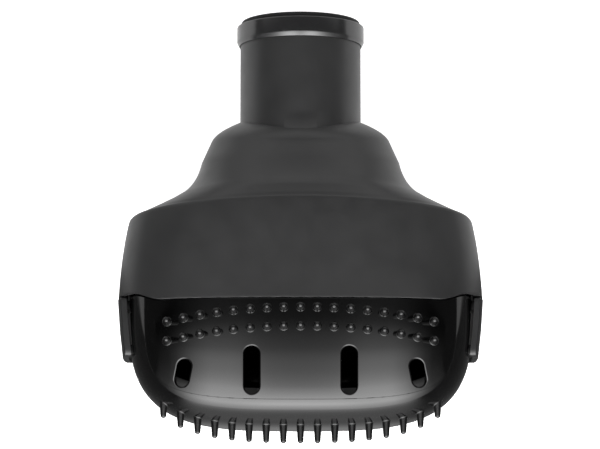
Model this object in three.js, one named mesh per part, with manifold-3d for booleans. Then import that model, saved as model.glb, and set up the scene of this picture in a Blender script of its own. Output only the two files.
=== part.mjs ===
// Hair-dryer diffuser: a hood that pushes onto a dryer barrel and spreads its air through a
// glossy head with three rows of root-lifting pins and four air slots.
// Millimetres. +Y runs along the neck towards the dryer, +Z comes out of the pinned face,
// +X is to the right. The part lies on its back, on z = 0.

import * as THREE from 'three';
import { mergeVertices } from 'three/addons/utils/BufferGeometryUtils.js';
import Module from 'manifold-3d';

const wasm = await Module();
wasm.setup();

// ---------------------------------------------------------------- driving dimensions

const axisHeight = 34;      // neck axis above the surface that the part lies on
const gap = 0.3;            // play between pieces that touch
const wall = 2;             // moulded wall
const ringSides = 48;       // points round each loft section
const turnedSides = 36;     // sides of each turned piece

const neck = { radius: 24.8, end: 86.1, shoulder: 46 };
const seam = { front: -30.85, side: -27.5, stepFrom: 56, stepTo: 69 };
const head = { halfWidth: 70.2, halfDepth: 36.2, top: -27, length: 53.4, round: 3.55, square: 3 };
const parting = { middle: 29.7, fall: 4, fallAt: 48.3, reach: 90 };  // where the face panel meets the bowl
const pin = { perRow: 17, length: 7.4, baseRadius: 1.6, tipRadius: 1.2, sunk: 1.3, sides: 6 };
const tipRow = { height: 13.6, pitch: 6.92, endShortfall: 1.6 };
const upperRows = [{ y: -34.6, sag: 5.2, pitch: 6.7 }, { y: -42.2, sag: 5.3, pitch: 6.7 }];
const slots = [
  { x: 19.5, y: -59.6, length: 18.8, width: 6.2, lean: 0 },
  { x: 47.1, y: -60.4, length: 10.9, width: 5.7, lean: 12 },
];
const tab = { top: -28, bottom: -51.8, halfSpan: 14, topWidth: 74.5, middleWidth: 73.7, bottomWidth: 72.4 };
const hinge = { x: 65.8, y: -48.6, pinRadius: 1, barrelRadius: 2.2, barrelHalf: 9, lugHalf: 16.5 };
const frameRing = { halfWidth: 67.8, halfDepth: 31.8, top: -17.5, bottom: -38 };
const baffle = { top: -12, thickness: 2, holeRadius: 3, pitchX: 15, pitchZ: 15 };
const boss = { x: 50, z: 20, radius: 3.4, screwRadius: 1.5, headRadius: 2.8, headHeight: 2 };
const collar = { outer: 26.2, bottom: 78.05, chamferTop: 79.7 };
const sleeve = {
  outer: neck.radius - wall - gap, inner: 21.2, mouth: 21.8, flange: 24.4, bottom: 52, top: 88.2,
};
const sleeveRib = { radius: 20.5, pitch: 9, count: 3, width: 2, slope: 0.6 };
const retainer = { inner: 20.8, bottom: 48.6, top: 51.7 };
const deflector = { inner: 20.6, bottom: 44.6, top: 48.3, spokeReach: 21.5, spokeHalf: 0.8 };
const deflectorCone = [[0, 30], [0, 50], [3, 47], [6.5, 40], [9, 30]];
const gasket = {
  halfWidth: 70.8, halfDepth: 33.6, holeHalfWidth: 68.2, holeHalfDepth: 32.2, top: -18.5, bottom: -20.5,
};
const catchRidge = { inner: 71.2, outer: 73, top: -24, bottom: -25.5, half: 7 };
const tongue = { inner: 69.3, outer: 70.6, top: -21.3, root: -32, half: 5, nose: 70.9, noseFoot: -23.2 };
const spring = { coilRadius: 1.75, wire: 0.35, turns: 3.5, stepsPerTurn: 10, clearance: 0.7 };
const overlap = 1;          // how far a joined feature is sunk into the piece that carries it

// ---------------------------------------------------------------- solids and meshes

function toSolid(geometry) {
  const bare = geometry.clone();
  bare.deleteAttribute('normal');
  bare.deleteAttribute('uv');
  const merged = mergeVertices(bare, 1e-4);
  const corners = merged.index.array;
  const kept = [];
  for (let i = 0; i < corners.length; i += 3) {
    const [a, b, c] = corners.slice(i, i + 3);
    if (a !== b && b !== c && c !== a) kept.push(a, b, c);
  }
  return new wasm.Manifold(new wasm.Mesh({
    numProp: 3,
    vertProperties: new Float32Array(merged.attributes.position.array),
    triVerts: new Uint32Array(kept),
  }));
}

function toGeometry(solid) {
  const mesh = solid.getMesh();
  const geometry = new THREE.BufferGeometry();
  geometry.setAttribute('position', new THREE.BufferAttribute(mesh.vertProperties, 3));
  geometry.setIndex(new THREE.BufferAttribute(mesh.triVerts, 1));
  geometry.computeVertexNormals();
  return geometry;
}

const joinAll = (solids) => solids.reduce((whole, piece) => whole.add(piece));

function block(low, high) {
  const size = high.map((value, axis) => value - low[axis]);
  const middle = high.map((value, axis) => (value + low[axis]) / 2);
  return toSolid(new THREE.BoxGeometry(...size).translate(...middle));
}

// A block between any two opposite corners.
function orderedBlock(one, other) {
  const low = one.map((value, axis) => Math.min(value, other[axis]));
  const high = one.map((value, axis) => Math.max(value, other[axis]));
  return block(low, high);
}

// A round bar between two points, with its own number of sides.
function rod(radius, from, to, sides = 16) {
  const start = new THREE.Vector3(...from);
  const along = new THREE.Vector3(...to).sub(start);
  const geometry = new THREE.CylinderGeometry(radius, radius, along.length(), sides);
  geometry.applyQuaternion(new THREE.Quaternion().setFromUnitVectors(
    new THREE.Vector3(0, 1, 0), along.clone().normalize()));
  geometry.translate(...start.addScaledVector(along, 0.5).toArray());
  return toSolid(geometry);
}

// A turned piece round +Y: its outline is a closed loop of [radius, y] points.
function turnedGeometry(outline, sides) {
  const points = [...outline, outline[0]].map(([radius, y]) => new THREE.Vector2(radius, y));
  if (THREE.ShapeUtils.isClockWise(points)) points.reverse();
  return new THREE.LatheGeometry(points, sides);
}

const turned = (outline, sides = turnedSides) => toSolid(turnedGeometry(outline, sides));

// ---------------------------------------------------------------- lofts

// One closed section: a squared-off ellipse whose front and back are bowed along the neck.
function section({ y, halfWidth, halfDepth, square = head.square, bow = 0 }) {
  const points = [];
  for (let step = 0; step < ringSides; step += 1) {
    const angle = (step / ringSides) * 2 * Math.PI;
    const across = Math.cos(angle);
    const up = Math.sin(angle);
    const reach = (Math.abs(across) ** square + Math.abs(up) ** square) ** (-1 / square);
    points.push([halfWidth * reach * across, y + bow * up * up, halfDepth * reach * up]);
  }
  return points;
}

// A closed skin through sections that run towards -Y.
function loft(sections) {
  const rings = sections.map(section);
  const positions = rings.flat(2);
  const triangles = [];
  const last = rings.length - 1;
  const at = (ring, step) => ring * ringSides + (step % ringSides);
  for (let ring = 0; ring < last; ring += 1) {
    for (let step = 0; step < ringSides; step += 1) {
      triangles.push(at(ring, step), at(ring, step + 1), at(ring + 1, step));
      triangles.push(at(ring, step + 1), at(ring + 1, step + 1), at(ring + 1, step));
    }
  }
  const topCentre = rings.length * ringSides;
  positions.push(0, sections[0].y, 0, 0, sections[last].y, 0);
  for (let step = 0; step < ringSides; step += 1) {
    triangles.push(topCentre, at(0, step + 1), at(0, step));
    triangles.push(topCentre + 1, at(last, step), at(last, step + 1));
  }
  const geometry = new THREE.BufferGeometry();
  geometry.setAttribute('position', new THREE.Float32BufferAttribute(positions, 3));
  geometry.setIndex(triangles);
  return toSolid(geometry);
}

const slab = (from, to, size) => loft([{ y: from, ...size }, { y: to, ...size }]);

// What lies above a height measured from the neck axis.
const above = (height) => block([-120, -120, height], [120, 120, 120]);

// ---------------------------------------------------------------- outer shapes

// The side outline of the hood, as (half width, y, half depth) points from shoulder to seam.
function hoodOutline() {
  const point = (halfWidth, y, halfDepth) => new THREE.Vector3(halfWidth, y, halfDepth);
  const shoulder = [point(neck.radius, neck.shoulder, neck.radius), point(34.9, 42, 26.9)];
  const waist = [point(36.6, 38, 27.3), point(40.6, 28.9, 29.2)];
  const flank = [point(49.5, 14.4, 32.4), point(54.4, 11.3, 33.2)];
  const crease = [point(68.8, 4.5, 34.6), point(70, 4.2, 34.8), point(70.3, 3, 34.9)];
  const side = [point(73.9, -12, 36), point(74.6, -36, head.halfDepth)];
  const curves = [
    [new THREE.QuadraticBezierCurve3(shoulder[0], shoulder[1], waist[0]), 4],
    [new THREE.LineCurve3(waist[0], waist[1]), 1],
    [new THREE.QuadraticBezierCurve3(waist[1], point(42.8, 19.1, 31), flank[0]), 3],
    [new THREE.LineCurve3(flank[0], flank[1]), 1],
    [new THREE.QuadraticBezierCurve3(flank[1], point(66, 5.2, 34.3), crease[0]), 3],
    [new THREE.QuadraticBezierCurve3(crease[0], crease[1], crease[2]), 2],
    [new THREE.QuadraticBezierCurve3(crease[2], side[0], side[1]), 4],
  ];
  return curves.flatMap(([curve, steps], index) => curve.getPoints(steps).slice(index ? 1 : 0));
}

// The shoulder dips at the front and the crease below it arches up.
function hoodBow(y) {
  const dip = -6;
  const arch = 6.5;
  const crease = 6;
  if (y > crease) return THREE.MathUtils.mapLinear(y, neck.shoulder, crease, dip, arch);
  return arch * THREE.MathUtils.smoothstep(y, -15, crease);
}

function hoodSolid(inset, drop) {
  const stations = hoodOutline().map((point) => ({
    y: point.y - drop,
    halfWidth: point.x - inset,
    halfDepth: point.z - inset,
    square: 2 + THREE.MathUtils.smoothstep(-point.y, -neck.shoulder, -5),
    bow: hoodBow(point.y),
  }));
  const radius = neck.radius - inset;
  const top = { y: neck.end + (inset ? overlap : 0), halfWidth: radius, halfDepth: radius, square: 2 };
  return loft([top, ...stations]);
}

// Half width of the head at a height y, as a share of its full width.
function headTaper(y, length = head.length) {
  const depth = THREE.MathUtils.clamp((head.top - y) / length, 0, 1);
  return (1 - depth ** head.round) ** (1 / head.round);
}

function headSolid(inset) {
  const steps = 9;
  const length = head.length - inset;
  const stations = [{ y: head.top + 10, taper: 1 }];
  for (let step = 0; step < steps; step += 1) {
    const angle = (step / steps) * (Math.PI / 2);
    const depth = Math.sin(angle) ** (2 / head.round);
    stations.push({ y: head.top - length * depth, taper: Math.cos(angle) ** (2 / head.round) });
  }
  return loft(stations.map(({ y, taper }) => ({
    y, halfWidth: (head.halfWidth - inset) * taper, halfDepth: (head.halfDepth - inset) * taper,
  })));
}

// Height of the head's front surface above the axis.
function headFront(x, y) {
  const taper = headTaper(y);
  const share = 1 - (Math.abs(x) / (head.halfWidth * taper)) ** head.square;
  return head.halfDepth * taper * share ** (1 / head.square);
}

// Where the head's lower end lies, for a line across it at one height.
function headEnd(x, height) {
  const across = (Math.abs(x) / head.halfWidth) ** head.square;
  const up = (height / head.halfDepth) ** head.square;
  const taper = (across + up) ** (1 / head.square);
  return head.top - head.length * (1 - taper ** head.round) ** (1 / head.round);
}

// Everything on the head's side of the seam, which steps up at the two release tabs.
function belowSeam(offset) {
  const outline = new THREE.Shape();
  const side = seam.side + offset;
  const front = seam.front + offset;
  const middle = (seam.stepFrom + seam.stepTo) / 2;
  const far = 100;
  outline.moveTo(-far, -far);
  outline.lineTo(far, -far);
  outline.lineTo(far, side);
  outline.lineTo(seam.stepTo, side);
  outline.bezierCurveTo(middle, side, middle, front, seam.stepFrom, front);
  outline.lineTo(-seam.stepFrom, front);
  outline.bezierCurveTo(-middle, front, -middle, side, -seam.stepTo, side);
  outline.lineTo(-far, side);
  const options = { depth: 2 * far, bevelEnabled: false, curveSegments: 6 };
  return toSolid(new THREE.ExtrudeGeometry(outline, options).translate(0, 0, -far));
}

// ---------------------------------------------------------------- hood and neck

function housing() {
  const outer = hoodSolid(0, 0);
  const flankDrop = 1.6;
  const hollow = hoodSolid(wall, flankDrop).intersect(above(wall - axisHeight));
  const bossTop = 12;
  const bossFoot = baffle.top + gap;
  const holeDepth = 10;
  const { half, ...ridge } = catchRidge;
  const ridges = [1, -1].map((side) => (
    orderedBlock([side * ridge.inner, ridge.bottom, -half], [side * ridge.outer, ridge.top, half])
  ));
  let shell = outer.subtract(hollow);
  for (const [x, z] of bossCentres()) {
    shell = shell.add(rod(boss.radius, [x, bossFoot, z], [x, bossTop, z], 12).intersect(outer));
  }
  for (const [x, z] of bossCentres()) {
    const pilot = boss.screwRadius + gap;
    shell = shell.subtract(rod(pilot, [x, bossFoot - overlap, z], [x, bossFoot + holeDepth, z], 8));
  }
  return joinAll([shell, ...ridges]).subtract(belowSeam(gap / 2)).intersect(above(-axisHeight));
}

function bossCentres() {
  const signs = [[1, 1], [-1, 1], [-1, -1], [1, -1]];
  return signs.map(([side, end]) => [side * boss.x, end * boss.z]);
}

function collarRing() {
  const inner = neck.radius + gap;
  const { outer, bottom, chamferTop } = collar;
  return turned([
    [inner, bottom], [inner, neck.end], [outer - 0.7, neck.end], [outer - 0.15, neck.end - 0.3],
    [outer, neck.end - 0.9], [outer, chamferTop], [inner + 0.2, bottom],
  ]);
}

function gripSleeve() {
  const { outer, inner, mouth, bottom, top, flange } = sleeve;
  const { radius, pitch, count, width, slope } = sleeveRib;
  const seat = neck.end + gap;
  const outline = [[inner, bottom], [outer, bottom], [outer, seat], [flange, seat]];
  outline.push([flange, top], [mouth, top]);
  for (let rib = 0; rib < count; rib += 1) {
    const ribTop = top - 3 - rib * pitch;
    const ribFoot = ribTop - width;
    outline.push([inner, ribTop], [radius, ribTop - slope], [radius, ribFoot + slope], [inner, ribFoot]);
  }
  return turned(outline);
}

function sleeveRetainer() {
  const { inner, bottom, top } = retainer;
  return turned([[inner, bottom], [inner, top], [sleeve.outer, top], [sleeve.outer, bottom]]);
}

function airDeflector() {
  const { inner, bottom, top, spokeReach, spokeHalf } = deflector;
  const ring = turned([[inner, bottom], [inner, top], [sleeve.outer, top], [sleeve.outer, bottom]]);
  const core = turned(deflectorCone, 24);
  const spokes = [
    block([-spokeReach, bottom, -spokeHalf], [spokeReach, top, spokeHalf]),
    block([-spokeHalf, bottom, -spokeReach], [spokeHalf, top, spokeReach]),
  ];
  return joinAll([ring, core, ...spokes]);
}

function bafflePlate() {
  const size = { halfWidth: 70.2, halfDepth: 33.2 };
  const foot = baffle.top - baffle.thickness;
  let plate = slab(baffle.top, foot, size).intersect(above(wall + gap - axisHeight));
  for (let column = -4; column <= 4; column += 1) {
    for (let row = -1; row <= 1; row += 1) {
      const x = column * baffle.pitchX;
      const z = row * baffle.pitchZ;
      const nearBoss = Math.hypot(Math.abs(x) - boss.x, Math.abs(z) - boss.z) < 8;
      const cut = rod(baffle.holeRadius, [x, foot - overlap, z], [x, baffle.top + overlap, z], 10);
      if (!nearBoss) plate = plate.subtract(cut);
    }
  }
  for (const [x, z] of bossCentres()) {
    const hole = boss.screwRadius + gap;
    plate = plate.subtract(rod(hole, [x, foot - overlap, z], [x, baffle.top + overlap, z], 8));
  }
  return plate;
}

function baffleScrew(x, z) {
  const seat = baffle.top - baffle.thickness - gap;
  const shankEnd = baffle.top + 8;
  const slotHalf = 0.4;
  const shank = rod(boss.screwRadius, [x, seat - overlap, z], [x, shankEnd, z], 8);
  const cap = rod(boss.headRadius, [x, seat - boss.headHeight, z], [x, seat, z], 12);
  const low = [x - boss.headRadius, seat - boss.headHeight - overlap, z - slotHalf];
  const high = [x + boss.headRadius, seat - boss.headHeight / 2, z + slotHalf];
  return shank.add(cap).subtract(block(low, high));
}

// ---------------------------------------------------------------- head

function headShell() {
  const hollow = headSolid(wall).intersect(above(wall - axisHeight));
  return headSolid(0).subtract(hollow).intersect(belowSeam(-gap / 2)).intersect(above(-axisHeight));
}

// A pin stands on its base point, along `direction`, with its root sunk in the wall.
function pinSolid(base, direction, length) {
  const outline = [
    [0, -pin.sunk], [pin.baseRadius, -pin.sunk], [pin.tipRadius, length - 0.8],
    [pin.tipRadius * 0.65, length - 0.15], [0, length],
  ];
  const turn = new THREE.Quaternion().setFromUnitVectors(new THREE.Vector3(0, 1, 0), direction);
  return toSolid(turnedGeometry(outline, pin.sides).applyQuaternion(turn).translate(...base));
}

// Places across a row of pins, each with its share of the way from the middle to the row's end.
function pinPlaces(pitch) {
  const half = (pin.perRow - 1) / 2;
  return Array.from({ length: pin.perRow }, (_, index) => {
    const share = (index - half) / half;
    return { x: share * half * pitch, share };
  });
}

const partingHeight = (x) => parting.middle - parting.fall * Math.abs(x / parting.fallAt) ** 3;

// What lies in front of the arched surface where the face panel meets the bowl.
function panelSide(offset) {
  const steps = 24;
  const { reach } = parting;
  const outline = new THREE.Shape();
  outline.moveTo(reach, reach);
  outline.lineTo(-reach, reach);
  for (let step = 0; step <= steps; step += 1) {
    const x = THREE.MathUtils.mapLinear(step, 0, steps, -reach, reach);
    outline.lineTo(x, partingHeight(x) + offset);
  }
  const geometry = new THREE.ExtrudeGeometry(outline, { depth: 2 * reach, bevelEnabled: false });
  return toSolid(geometry.rotateX(Math.PI / 2).translate(0, reach, 0));
}

function slotCut({ x, y, length, width, lean }, side) {
  const radius = width / 2;
  const straight = length / 2 - radius;
  const outline = new THREE.Shape();
  outline.moveTo(radius, -straight);
  outline.lineTo(radius, straight);
  outline.absarc(0, straight, radius, 0, Math.PI);
  outline.lineTo(-radius, -straight);
  outline.absarc(0, -straight, radius, Math.PI, 2 * Math.PI);
  const geometry = new THREE.ExtrudeGeometry(outline, { depth: 60, bevelEnabled: false, curveSegments: 8 });
  geometry.rotateZ(side * THREE.MathUtils.degToRad(lean));
  return toSolid(geometry.translate(side * x, y, 0));
}

function facePanel(shell) {
  const up = new THREE.Vector3(0, 0, 1);
  const clips = [1, -1].flatMap((side) => [
    orderedBlock([side * 53, -50, 18], [side * 54.5, -42, 27]),
    orderedBlock([side * 25, -64.5, 22.5], [side * 32, -63, 31]),
  ]);
  const clipSkin = 0.6;
  const clipSolid = joinAll(clips).intersect(headSolid(clipSkin));
  let panel = shell.intersect(panelSide(gap / 2)).add(clipSolid);
  for (const slot of slots) {
    panel = panel.subtract(slotCut(slot, 1)).subtract(slotCut(slot, -1));
  }
  for (const row of upperRows) {
    for (const { x, share } of pinPlaces(row.pitch)) {
      const y = row.y - row.sag * share ** 2;
      panel = panel.add(pinSolid([x, y, headFront(x, y)], up, pin.length));
    }
  }
  return panel;
}

function headBowl(shell) {
  const down = new THREE.Vector3(0, -1, 0);
  let bowl = shell.subtract(panelSide(-gap / 2));
  for (const side of [1, -1]) {
    const half = tab.halfSpan + gap;
    bowl = bowl.subtract(orderedBlock([side * 60, tab.bottom - gap, -half], [side * 80, 0, half]));
    bowl = joinAll([bowl, hingeLug(side, 1), hingeLug(side, -1)]);
    const centre = [side * hinge.x, hinge.y];
    const bore = hinge.pinRadius + gap;
    bowl = bowl.subtract(rod(bore, [...centre, -hinge.lugHalf], [...centre, hinge.lugHalf], 12));
  }
  for (const { x, share } of pinPlaces(tipRow.pitch)) {
    const length = pin.length - tipRow.endShortfall * share ** 2;
    bowl = bowl.add(pinSolid([x, headEnd(x, tipRow.height), tipRow.height], down, length));
  }
  return bowl;
}

// The lug inside the bowl that carries one end of a tab's hinge pin.
function hingeLug(side, end) {
  const half = 2.6;
  const lug = orderedBlock(
    [side * (hinge.x - half), hinge.y - half, end * (tab.halfSpan + gap)],
    [side * (hinge.x + half), hinge.y + half, end * (hinge.lugHalf + overlap)]);
  return lug.intersect(headSolid(0));
}

function spigotFrame() {
  const { halfWidth, halfDepth, top, bottom } = frameRing;
  const floor = 4.4 - axisHeight;
  const outer = slab(top, bottom, { halfWidth, halfDepth }).intersect(above(floor));
  const inside = { halfWidth: halfWidth - wall, halfDepth: halfDepth - wall };
  return outer.subtract(slab(top + overlap, bottom - overlap, inside).intersect(above(floor + wall)));
}

function seamGasket() {
  const { halfWidth, halfDepth, holeHalfWidth, holeHalfDepth, top, bottom } = gasket;
  const floor = 2.5 - axisHeight;
  const holeFloor = 4.1 - axisHeight;
  const hole = slab(top + overlap, bottom - overlap, { halfWidth: holeHalfWidth, halfDepth: holeHalfDepth });
  const outer = slab(top, bottom, { halfWidth, halfDepth }).intersect(above(floor));
  return outer.subtract(hole.intersect(above(holeFloor)));
}

// The right-hand release tab. The left one is the same piece turned round the neck.
function releaseTab() {
  const { halfDepth } = head;
  const skin = loft([
    { y: tab.top, halfWidth: tab.topWidth, halfDepth },
    { y: (tab.top + tab.bottom) / 2, halfWidth: tab.middleWidth, halfDepth },
    { y: tab.bottom, halfWidth: tab.bottomWidth, halfDepth },
  ]);
  const half = tab.halfSpan;
  const patch = block([40, tab.bottom, -half], [90, tab.top, half]);
  const plate = skin.intersect(patch).subtract(headSolid(0));
  const { x, y, barrelRadius, barrelHalf } = hinge;
  const { inner, outer, top, root, half: reach, nose, noseFoot } = tongue;
  const solid = joinAll([
    plate,
    rod(barrelRadius, [x, y, -barrelHalf], [x, y, barrelHalf]),
    block([x, y - 2, -barrelHalf], [71.6, y + 2, barrelHalf]),
    block([inner, root, -reach], [72.4, root + 4, reach]),
    block([inner, root + 3, -reach], [outer, top, reach]),
    block([inner, noseFoot, -reach], [nose, top, reach]),
  ]);
  const bore = hinge.pinRadius + 0.08;
  return solid.subtract(rod(bore, [x, y, -barrelHalf - 1], [x, y, barrelHalf + 1]));
}

function tabPin() {
  const half = hinge.lugHalf - gap;
  return rod(hinge.pinRadius, [hinge.x, hinge.y, -half], [hinge.x, hinge.y, half]);
}

// A torsion spring round the hinge pin, with one leg on the tab and one inside the bowl.
function tabSpring() {
  const { coilRadius, wire, turns, stepsPerTurn, clearance } = spring;
  const start = hinge.barrelHalf + clearance;
  const end = tab.halfSpan - clearance;
  const points = [new THREE.Vector3(hinge.x + coilRadius + 0.5, hinge.y + 5, start)];
  const steps = turns * stepsPerTurn;
  for (let step = 0; step <= steps; step += 1) {
    const angle = (step / stepsPerTurn) * 2 * Math.PI;
    points.push(new THREE.Vector3(
      hinge.x + coilRadius * Math.cos(angle),
      hinge.y - coilRadius * Math.sin(angle),
      THREE.MathUtils.lerp(start, end, step / steps)));
  }
  points.push(new THREE.Vector3(hinge.x - coilRadius, hinge.y - 2.6, end));
  const outline = new THREE.Shape();
  outline.absarc(0, 0, wire, 0, 2 * Math.PI);
  const path = new THREE.CatmullRomCurve3(points);
  const options = { steps: points.length + 3, curveSegments: 3, extrudePath: path, bevelEnabled: false };
  return toSolid(new THREE.ExtrudeGeometry(outline, options));
}

// ---------------------------------------------------------------- assembly

const finishes = {
  matteBlack: { color: '#2c2c2e', roughness: 0.55, metalness: 0 },
  glossBlack: { color: '#0d0d0f', roughness: 0.12, metalness: 0 },
  collarBlack: { color: '#333336', roughness: 0.35, metalness: 0 },
  rubber: { color: '#1d1d1f', roughness: 0.8, metalness: 0 },
  innerPlastic: { color: '#242427', roughness: 0.6, metalness: 0 },
  steel: { color: '#b9bcc0', roughness: 0.3, metalness: 1 },
};

const diffuser = new THREE.Group();
diffuser.position.z = axisHeight;

function addPiece(name, solid, finish) {
  const mesh = new THREE.Mesh(toGeometry(solid), new THREE.MeshStandardMaterial(finishes[finish]));
  mesh.name = name;
  diffuser.add(mesh);
  return mesh;
}

addPiece('housing', housing(), 'matteBlack');
addPiece('collar_ring', collarRing(), 'collarBlack');
addPiece('grip_sleeve', gripSleeve(), 'rubber');
addPiece('sleeve_retainer', sleeveRetainer(), 'innerPlastic');
addPiece('air_deflector', airDeflector(), 'innerPlastic');
addPiece('baffle_plate', bafflePlate(), 'innerPlastic');
bossCentres().forEach(([x, z], index) => {
  addPiece(`baffle_screw_${index + 1}`, baffleScrew(x, z), 'steel');
});

const shell = headShell();
addPiece('face_panel', facePanel(shell), 'glossBlack');
addPiece('head_bowl', headBowl(shell), 'glossBlack');
addPiece('spigot_frame', spigotFrame(), 'innerPlastic');
addPiece('seam_gasket', seamGasket(), 'rubber');

for (const [side, turn] of [['right', 0], ['left', Math.PI]]) {
  addPiece(`release_tab_${side}`, releaseTab(), 'matteBlack').rotation.y = turn;
  addPiece(`tab_pin_${side}`, tabPin(), 'steel').rotation.y = turn;
  addPiece(`tab_spring_${side}`, tabSpring(), 'steel').rotation.y = turn;
}

export default diffuser;
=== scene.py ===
"""A hair dryer diffuser: the looks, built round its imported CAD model. Metres; +Y runs along the neck,
+Z out of the pinned face. Pieces are placed from the frame's boxes and from the driving sizes below."""

from math import cos, pi, radians, sin

import bmesh
import bpy
import numpy as np
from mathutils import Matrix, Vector


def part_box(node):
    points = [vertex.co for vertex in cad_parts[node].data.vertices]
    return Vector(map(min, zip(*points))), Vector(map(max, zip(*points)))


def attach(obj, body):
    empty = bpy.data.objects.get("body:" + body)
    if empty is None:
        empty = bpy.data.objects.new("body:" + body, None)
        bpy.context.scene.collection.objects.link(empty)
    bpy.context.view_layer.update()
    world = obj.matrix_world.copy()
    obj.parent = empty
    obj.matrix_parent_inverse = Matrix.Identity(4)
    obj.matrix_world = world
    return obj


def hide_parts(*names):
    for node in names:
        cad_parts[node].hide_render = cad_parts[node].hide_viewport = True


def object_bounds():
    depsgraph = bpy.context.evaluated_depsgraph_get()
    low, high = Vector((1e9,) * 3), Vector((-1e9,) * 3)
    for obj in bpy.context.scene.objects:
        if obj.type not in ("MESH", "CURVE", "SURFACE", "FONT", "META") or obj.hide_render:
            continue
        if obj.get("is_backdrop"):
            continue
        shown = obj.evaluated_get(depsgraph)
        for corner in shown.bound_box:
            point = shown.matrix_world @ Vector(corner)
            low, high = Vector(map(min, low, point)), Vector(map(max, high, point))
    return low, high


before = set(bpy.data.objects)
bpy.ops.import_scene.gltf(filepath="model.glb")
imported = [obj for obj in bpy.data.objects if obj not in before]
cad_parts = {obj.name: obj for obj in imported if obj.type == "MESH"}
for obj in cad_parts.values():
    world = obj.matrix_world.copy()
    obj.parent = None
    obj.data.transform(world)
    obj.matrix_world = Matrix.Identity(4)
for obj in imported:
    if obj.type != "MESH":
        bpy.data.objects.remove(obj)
cad_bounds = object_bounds()

MM = 0.001

# ---------------------------------------------------------------- sizes taken from the frame

collar_low, collar_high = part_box("collar_ring")
sleeve_low, sleeve_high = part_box("grip_sleeve")
housing_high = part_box("housing")[1]
tab_low, tab_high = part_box("release_tab_right")
hinge_low, hinge_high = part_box("tab_pin_right")
baffle_low, baffle_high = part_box("baffle_plate")
retainer_low, retainer_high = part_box("sleeve_retainer")
deflector_low, deflector_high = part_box("air_deflector")
spigot_low, spigot_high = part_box("spigot_frame")
gasket_low, gasket_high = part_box("seam_gasket")

AXIS_Z = (collar_low[2] + collar_high[2]) / 2      # the neck's axis
COLLAR_RADIUS = collar_high[0]
NECK_END = housing_high[1]
NECK_RADIUS = COLLAR_RADIUS - 1.4 * MM

# ---------------------------------------------------------------- sizes shared with the CAD source

WALL = 2 * MM
GAP = 0.3 * MM                                     # between neighbouring pieces
HALF_PARTING = 0.08 * MM                           # half the fine line between panel and bowl
SHOULDER = 46 * MM                                 # where the neck meets the hood
KNEE = 2.8 * MM                                    # below this the hood's sections lean over to the seam
HOOD_DROP = 1.6 * MM                               # how far the hood's inside lies below its outside
SEAM_FRONT = -30.85 * MM
SEAM_SIDE = -27.5 * MM
SEAM_STEP = (56 * MM, 69 * MM)                     # where the seam rises to the release tabs
SQUARE = 3                                         # squareness of the body's sections
ROUND = 3.55                                       # squareness of the head's outline
HEAD_HALF_WIDTH = 70.2 * MM
HEAD_HALF_DEPTH = 36.2 * MM
HEAD_TOP = -27 * MM                                # where the head starts to round off
HEAD_LENGTH = 53.4 * MM
PARTING_MIDDLE = 29.7 * MM                         # height of the panel's edge above the axis
PARTING_FALL = (4 * MM, 48.3 * MM)                 # how far it falls, and how far out
PINS_PER_ROW = 17
PIN_BASE_RADIUS = 1.6 * MM
PIN_TIP_RADIUS = 1.2 * MM
PIN_LENGTH = 7.4 * MM
PIN_SUNK = 0.6 * MM                                # how far a pin's root reaches into the wall
PIN_FILLET = 0.5 * MM
UPPER_PITCH = 6.7 * MM
UPPER_ROWS = {                                     # middle of the row, and how far its ends sag
    "pins_upper": (-34.6 * MM, 5.2 * MM),
    "pins_lower": (-42.2 * MM, 5.3 * MM),
}
TIP_PITCH = 6.92 * MM
TIP_ROW_HEIGHT = 13.6 * MM
TIP_ROW_SHORTFALL = 1.6 * MM                       # how much shorter the end pins of that row are
SLOTS = [                                          # x, y, length, width, lean
    (19.5 * MM, -59.6 * MM, 18.8 * MM, 6.2 * MM, 0),
    (47.1 * MM, -60.4 * MM, 10.9 * MM, 5.7 * MM, radians(12)),
]
SLOT_ROOT = 8 * MM                                 # the slot cutters start this far above the axis
TAB_TOP = -28 * MM
TAB_WIDTHS = [72.4 * MM, 73.7 * MM, 74.5 * MM]     # half widths at the tab's foot, middle and top
TAB_THICKNESS = 2.5 * MM
TAB_BARREL_HALF = 9 * MM
TAB_BARREL_RADIUS = 2.2 * MM
TAB_BARREL_BORE = 1.08 * MM
TONGUE_HALF = 5 * MM
COLLAR_CHAMFER = 1.65 * MM
SLEEVE_BORE = 21.2 * MM
SLEEVE_RIB = 20.5 * MM
SLEEVE_RIB_PITCH = 9 * MM
SLEEVE_RIB_COUNT = 3
RETAINER_BORE = 20.8 * MM
DEFLECTOR_RING = (20.6 * MM, 44.6 * MM, 48.3 * MM)  # bore, lower and upper edge
SPOKE_REACH = 21.5 * MM
BAFFLE_HOLE_RADIUS = 3 * MM
BAFFLE_HOLE_PITCH = 15 * MM
BAFFLE_SCREW_HOLE = 1.8 * MM
SCREW_CLEARANCE = 8 * MM                           # no air hole closer to a screw than this
GASKET_WIDTH = 1.4 * MM

# ---------------------------------------------------------------- studio sizes

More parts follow.
